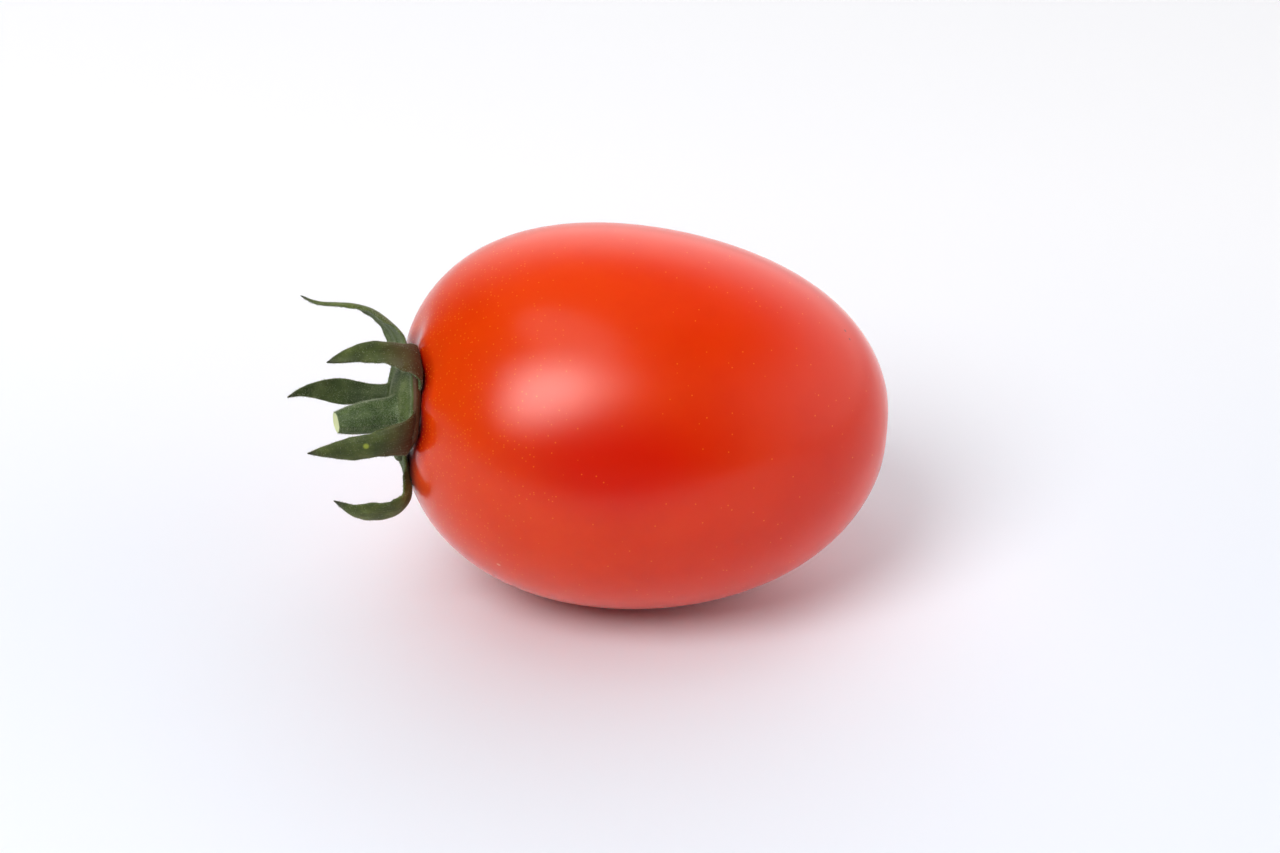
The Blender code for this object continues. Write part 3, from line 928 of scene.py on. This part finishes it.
def tomato_sepal():
    """Tomato sepal: a soft matt leaf, dark olive green, with fine veins and a dry dark tip.

    The two sides differ a little in green, and fine pale grains stand in for the shortest down.
    Where the foot lies low over the fruit, in front, the fruit side is drawn as a warm dark brown
    band beside the red: painted shade, with the red light that the fruit throws on it.
    """
    material, tree, shader = new_material(
        "tomato_sepal", Roughness=0.62, IOR=1.36, Sheen_Weight=0.10, Sheen_Roughness=0.5
    )
    shader.inputs["Sheen Tint"].default_value = linear("dfe6c0")
    place = node(tree, "ShaderNodeTexCoord").outputs["Object"]
    tag = node(tree, "ShaderNodeAttribute", attribute_name="place_on_piece")
    parts = node(tree, "ShaderNodeSeparateColor", links={0: tag.outputs["Color"]})
    along, across, side = parts.outputs[0], parts.outputs[1], parts.outputs[2]
    blotch = node(
        tree,
        "ShaderNodeTexNoise",
        values={"Scale": 1 / LEAF_BLOTCH, "Detail": 4.0, "Roughness": 0.6},
        links={"Vector": place},
    ).outputs[0]
    leaf = node(
        tree,
        "ShaderNodeValToRGB",
        links={0: blotch},
        stops=((0.30, linear("2d380c")), (0.5, linear("404c18")), (0.72, linear("5a662c"))),
    ).outputs[0]
    under = node(
        tree,
        "ShaderNodeValToRGB",
        links={0: blotch},
        stops=((0.30, linear("36461a")), (0.5, linear("4a5a2a")), (0.72, linear("6a7846"))),
    ).outputs[0]
    green = node(
        tree, "ShaderNodeMix", links={0: side, 6: under, 7: leaf}, data_type="RGBA"
    ).outputs[2]

    from_seat = node(
        tree,
        "ShaderNodeVectorMath",
        values={1: tuple(SEAT)},
        links={0: place},
        operation="SUBTRACT",
    ).outputs[0]
    # Painted shade with the fruit's red light: brown on the fruit side, low over the seat and in
    # front
    brown_shade = side
    brown_shade_way = math.cos(BROWN_SHADE_BEARING) * UP + math.sin(BROWN_SHADE_BEARING) * FRONT
    for way, ends in ((OUT, BROWN_SHADE_HEIGHT), (brown_shade_way, BROWN_SHADE_REACH)):
        distance = node(
            tree,
            "ShaderNodeVectorMath",
            values={1: tuple(way)},
            links={0: from_seat},
            operation="DOT_PRODUCT",
        ).outputs["Value"]
        share = node(
            tree,
            "ShaderNodeMapRange",
            values={1: ends[0], 2: ends[1], 3: 0.0, 4: 1.0},
            links={0: distance},
        ).outputs[0]
        brown_shade = node(
            tree, "ShaderNodeMath", links={0: brown_shade, 1: share}, operation="MULTIPLY"
        ).outputs[0]
    brown_shaded = node(
        tree,
        "ShaderNodeMix",
        values={7: linear("482404")},
        links={0: brown_shade, 6: green},
        data_type="RGBA",
    ).outputs[2]

    dry = node(
        tree,
        "ShaderNodeMapRange",
        values={1: DRY_TIP[0], 2: DRY_TIP[1], 3: 0.0, 4: 0.85},
        links={0: along},
    ).outputs[0]
    tipped = node(
        tree,
        "ShaderNodeMix",
        values={7: linear("2b2a22")},
        links={0: dry, 6: brown_shaded},
        data_type="RGBA",
    ).outputs[2]
    grains = node(
        tree,
        "ShaderNodeTexVoronoi",
        values={"Scale": 1 / LEAF_GRAIN},
        links={"Vector": place},
    ).outputs["Distance"]
    grain = node(
        tree, "ShaderNodeMapRange", values={1: 0.08, 2: 0.30, 3: 0.14, 4: 0.0}, links={0: grains}
    ).outputs[0]
    grained = node(
        tree,
        "ShaderNodeMix",
        values={7: linear("a3ac80")},
        links={0: grain, 6: tipped},
        data_type="RGBA",
    ).outputs[2]
    # Each piece's tone scales its colour, painting light on the top sepal and shade on the rear one
    colour = node(
        tree,
        "ShaderNodeVectorMath",
        links={0: marked(tree, place, grained, SEPAL_MARK), "Scale": tag.outputs["Alpha"]},
        operation="SCALE",
    ).outputs[0]
    tree.links.new(colour, shader.inputs["Base Color"])
    veins = node(tree, "ShaderNodeCombineXYZ", links={0: along, 1: across}).outputs[0]
    stripes = node(
        tree,
        "ShaderNodeTexWave",
        values={"Scale": 3.2, "Distortion": 2.5, "Detail": 2.0},
        links={"Vector": veins},
        bands_direction="Y",
    ).outputs["Fac"]
    rough = node(tree, "ShaderNodeMath", links={0: stripes, 1: blotch}, operation="ADD").outputs[0]
    bump = node(
        tree,
        "ShaderNodeBump",
        values={"Strength": 0.16, "Distance": 0.06 * MM},
        links={"Height": rough},
    ).outputs[0]
    tree.links.new(bump, shader.inputs["Normal"])
    return material


def tomato_stem():
    """Green tomato stem: a hairy grey-green rind, with the moist pale pith bare at the cut."""
    material, tree, shader = new_material(
        "tomato_stem", Roughness=0.65, IOR=1.36, Sheen_Weight=0.12, Sheen_Roughness=0.5
    )
    shader.inputs["Sheen Tint"].default_value = linear("dfe6cf")
    place = node(tree, "ShaderNodeTexCoord").outputs["Object"]
    on_piece = node(tree, "ShaderNodeAttribute", attribute_name="place_on_piece").outputs["Color"]
    along = node(tree, "ShaderNodeSeparateColor", links={0: on_piece}).outputs[0]
    blotch = node(
        tree,
        "ShaderNodeTexNoise",
        values={"Scale": 1 / RIND_BLOTCH, "Detail": 4.0, "Roughness": 0.6},
        links={"Vector": place},
    ).outputs[0]
    rind = node(
        tree,
        "ShaderNodeValToRGB",
        links={0: blotch},
        stops=((0.30, linear("33471c")), (0.5, linear("485d2d")), (0.72, linear("6b7d4c"))),
    ).outputs[0]
    grains = node(
        tree,
        "ShaderNodeTexVoronoi",
        values={"Scale": 1 / RIND_GRAIN},
        links={"Vector": place},
    ).outputs["Distance"]
    grain = node(
        tree, "ShaderNodeMapRange", values={1: 0.10, 2: 0.24, 3: 0.55, 4: 0.0}, links={0: grains}
    ).outputs[0]
    specked = node(
        tree,
        "ShaderNodeMix",
        values={7: linear("a3ad84")},
        links={0: grain, 6: rind},
        data_type="RGBA",
    ).outputs[2]
    cut = node(
        tree,
        "ShaderNodeMapRange",
        values={1: CUT_EDGE[0], 2: CUT_EDGE[1], 3: 0.0, 4: 1.0},
        links={0: along},
    ).outputs[0]
    colour = node(
        tree,
        "ShaderNodeMix",
        values={7: linear("e2e8ae")},
        links={0: cut, 6: specked},
        data_type="RGBA",
    ).outputs[2]
    tree.links.new(colour, shader.inputs["Base Color"])
    bump = node(
        tree,
        "ShaderNodeBump",
        values={"Strength": 0.3, "Distance": 0.05 * MM},
        links={"Height": blotch},
    ).outputs[0]
    tree.links.new(bump, shader.inputs["Normal"])
    return material


def plant_hair():
    """Plant hair: clear walled cells full of air, so a pale silvery green fuzz."""
    material, tree, shader = new_material("plant_hair", Roughness=0.5, IOR=1.4)
    place = node(tree, "ShaderNodeTexCoord").outputs["Object"]
    tint = node(
        tree,
        "ShaderNodeTexNoise",
        values={"Scale": 1 / FUZZ_BLOTCH},
        links={"Vector": place},
    ).outputs[0]
    colour = node(
        tree,
        "ShaderNodeValToRGB",
        links={0: tint},
        stops=((0.35, linear("8b9670")), (0.65, linear("c2c8aa"))),
    ).outputs[0]
    tree.links.new(colour, shader.inputs["Base Color"])
    return material


def matt_card():
    """Matt white card: flat and pale, whitest behind, so that the fruit stands on a clean ground.

    Its whiteness behind and its darker, bluer front are painted light and shade. It darkens to grey
    in front and to the left, outside the picture, and the fruit's gloss shows that as a dark band.
    The front edge slants away to the right.
    """
    material, tree, shader = new_material("matt_card", Roughness=0.9, IOR=1.4)
    place = node(tree, "ShaderNodeTexCoord").outputs["Object"]
    where = node(tree, "ShaderNodeSeparateXYZ", links={0: place})
    rightwards = node(
        tree, "ShaderNodeMath", values={1: 0.0}, links={0: where.outputs[0]}, operation="MAXIMUM"
    ).outputs[0]
    slanted = node(
        tree,
        "ShaderNodeMath",
        values={1: CARD_SLANT},
        links={0: rightwards, 2: where.outputs[1]},
        operation="MULTIPLY_ADD",
    ).outputs[0]
    shares = []
    front = (slanted, CARD_FRONT, 0.0)
    left = (where.outputs[0], CARD_LEFT, CARD_LEFT_SHARE)
    for place, edge, beyond in (front, left):
        share = node(
            tree,
            "ShaderNodeMapRange",
            values={1: edge - CARD_FADE, 2: edge, 3: beyond, 4: 1.0},
            links={0: place},
            interpolation_type="SMOOTHSTEP",
        ).outputs[0]
        shares.append(share)
    card = node(
        tree, "ShaderNodeMath", links={0: shares[0], 1: shares[1]}, operation="MULTIPLY"
    ).outputs[0]
    # Painted light and shade: the card is drawn whiter behind and darker and bluer in front
    back = node(
        tree,
        "ShaderNodeMapRange",
        values={1: CARD_PAINTED_LIGHT_RANGE[0], 2: CARD_PAINTED_LIGHT_RANGE[1], 3: 0.0, 4: 1.0},
        links={0: where.outputs[1]},
        interpolation_type="SMOOTHSTEP",
    ).outputs[0]
    white = node(
        tree,
        "ShaderNodeMix",
        values={6: linear("eef2fa"), 7: linear("fcfcff")},
        links={0: back},
        data_type="RGBA",
    ).outputs[2]
    colour = node(
        tree,
        "ShaderNodeMix",
        values={6: linear("5c5b5e")},
        links={0: card, 7: white},
        data_type="RGBA",
    ).outputs[2]
    tree.links.new(colour, shader.inputs["Base Color"])
    return material


# Assembly


def dress(piece, node_name, replaces=True):
    """Puts a piece on the tomato's one body, and in place of a node where it says so."""
    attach(piece, "root")
    if replaces:
        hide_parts(node_name)


def build_tomato():
    """All pieces of the tomato, in the order in which they draw their random numbers."""
    dress(fruit_skin(ripe_tomato_skin()), "fruit")
    leaf = tomato_sepal()
    grid, poles, tags = disc_grid()
    dress(skin("calyx_disc", grid, poles, leaf, tags), "calyx")
    stem_side = (tags[..., 2] < 0.5) * np.linalg.norm(grid - poles[1], axis=-1)
    patches = [(grid, DISC_HAIRS, DISC_HAIR, stem_side)]
    for number, (name, sepal) in enumerate(SEPALS.items()):
        grid, poles, tags = sepal_grid(sepal, number)
        dress(skin(name, grid, poles, leaf, tags), "calyx")
        along, across, fruit_side = tags[..., 0], tags[..., 1], tags[..., 2]
        hairy = along > HAIRY_PART[0]
        chance = (1.0 - FRUIT_SIDE_LOSS * fruit_side) * hairy * (along < HAIRY_PART[1])
        at_edge = np.abs(across - 0.5) > EDGE_PLACE
        patches.append((grid, SEPAL_HAIRS, SEPAL_HAIR, chance + EDGE_HAIRS * at_edge * hairy))
    grid, poles, tags = stem_grid()
    dress(skin("stem_stub", grid, poles, tomato_stem(), tags), "stem")
    fuzz = plant_hair()
    dress(hairs("calyx_hairs", patches, fuzz), "calyx", replaces=False)
    rind = [(grid[:STEM_RINGS], STEM_HAIRS, STEM_HAIR, np.ones((STEM_RINGS, STEM_SIDES)))]
    dress(hairs("stem_hairs", rind, fuzz), "stem", replaces=False)


def build_floor():
    """The card as one flat square under the object."""
    half = FLOOR_HALF
    points = np.array([(-half, -half, 0), (half, -half, 0), (half, half, 0), (-half, half, 0)])
    corners = np.arange(4)
    floor = mesh_object("floor", points, corners, np.array([4]), matt_card())


def softbox(name, way, distance, size, radiance, glossy=True, diffuse=True):
    """An oval area light in a direction from the fruit's middle, facing it.

    Its power is pi times its area times its radiance. A light that isn't glossy lights the scene
    without a reflection in the skin, and one that isn't diffuse is only a reflection. Distances and
    sizes are in metres.
    """
    data = bpy.data.lights.new(name, "AREA")
    data.shape = "ELLIPSE"
    data.size, data.size_y = size
    data.energy = math.pi * (math.pi * size[0] * size[1] / 4) * radiance
    lamp = bpy.data.objects.new(name, data)
    bpy.context.scene.collection.objects.link(lamp)
    direction = Vector(way).normalized()
    lamp.location = Vector(FRUIT_MIDDLE) + distance * direction
    lamp.rotation_euler = direction.to_track_quat("Z", "Y").to_euler()
    lamp.visible_glossy = glossy
    lamp.visible_diffuse = diffuse
    return lamp


def build_light():
    """A key softbox from the front left, a weaker one overhead, a ceiling and a pale glow.

    The key softbox shows in the skin as three ovals laid over each other, so that its edge is soft.
    The ceiling gives matt light only. The glow, behind and to the right, is the world's own light:
    it fades with the angle from its middle and with height.
    """
    softbox("key_softbox", KEY_WAY, KEY_DISTANCE, KEY_SIZE, KEY, glossy=False)
    for number, (size, radiance) in enumerate(REFLECTION_LAYERS):
        lamp = softbox(
            f"key_glow_{number}", REFLECTION_WAY, KEY_DISTANCE, size, radiance, diffuse=False
        )
        lamp.rotation_euler.rotate_axis("Z", REFLECTION_ROLL)
    softbox("overhead_softbox", OVERHEAD_WAY, OVERHEAD_DISTANCE, OVERHEAD_SIZE, OVERHEAD)
    softbox("ceiling", CEILING_WAY, CEILING_DISTANCE, CEILING_SIZE, CEILING, glossy=False)
    world = bpy.data.worlds.new("studio")
    bpy.context.scene.world = world
    world.use_nodes = True
    tree = world.node_tree
    background = tree.nodes["Background"]
    way = node(tree, "ShaderNodeTexCoord").outputs["Generated"]
    level = node(
        tree, "ShaderNodeVectorMath", values={1: (1, 1, 0)}, links={0: way}, operation="MULTIPLY"
    ).outputs[0]
    level = node(tree, "ShaderNodeVectorMath", links={0: level}, operation="NORMALIZE").outputs[0]
    facing = node(
        tree,
        "ShaderNodeVectorMath",
        values={1: GLOW_WAY},
        links={0: level},
        operation="DOT_PRODUCT",
    ).outputs["Value"]
    sideways = node(
        tree,
        "ShaderNodeMapRange",
        values={1: GLOW_SIDES[0], 2: GLOW_SIDES[1], 3: 0.0, 4: 1.0},
        links={0: facing},
        interpolation_type="SMOOTHSTEP",
    ).outputs[0]
    height = node(tree, "ShaderNodeSeparateXYZ", links={0: way}).outputs[2]
    upright = node(
        tree,
        "ShaderNodeMapRange",
        values={1: GLOW_FADE[0], 2: GLOW_FADE[1], 3: 1.0, 4: 0.0},
        links={0: height},
        interpolation_type="SMOOTHSTEP",
    ).outputs[0]
    glow = node(
        tree, "ShaderNodeMath", links={0: sideways, 1: upright}, operation="MULTIPLY"
    ).outputs[0]
    strength = node(
        tree,
        "ShaderNodeMapRange",
        values={1: 0.0, 2: 1.0, 3: ROOM_LEVEL, 4: GLOW_LEVEL},
        links={0: glow},
    ).outputs[0]
    tree.links.new(strength, background.inputs["Strength"])
    background.inputs["Color"].default_value = linear("ffffff")
    bpy.context.scene.view_settings.view_transform = "Standard"


def build_camera():
    """The camera looks at the fruit's middle from the front, 30 degrees up."""
    data = bpy.data.cameras.new("camera")
    data.lens = LENS_MM
    data.sensor_width = SENSOR_MM
    data.shift_x = -(TARGET_IN_PHOTO[0] - PHOTO_WIDTH / 2) / PHOTO_WIDTH
    data.shift_y = (TARGET_IN_PHOTO[1] - PHOTO_HEIGHT / 2) / PHOTO_WIDTH
    data.clip_start = 0.01
    camera = bpy.data.objects.new("camera", data)
    bpy.context.scene.collection.objects.link(camera)
    back = np.array((0.0, -math.cos(CAMERA_ELEVATION), math.sin(CAMERA_ELEVATION)))
    camera.location = FRUIT_MIDDLE + CAMERA_DISTANCE * back
    camera.rotation_euler = (math.pi / 2 - CAMERA_ELEVATION, 0.0, 0.0)
    bpy.context.scene.camera = camera


build_tomato()
build_floor()
build_light()
build_camera()
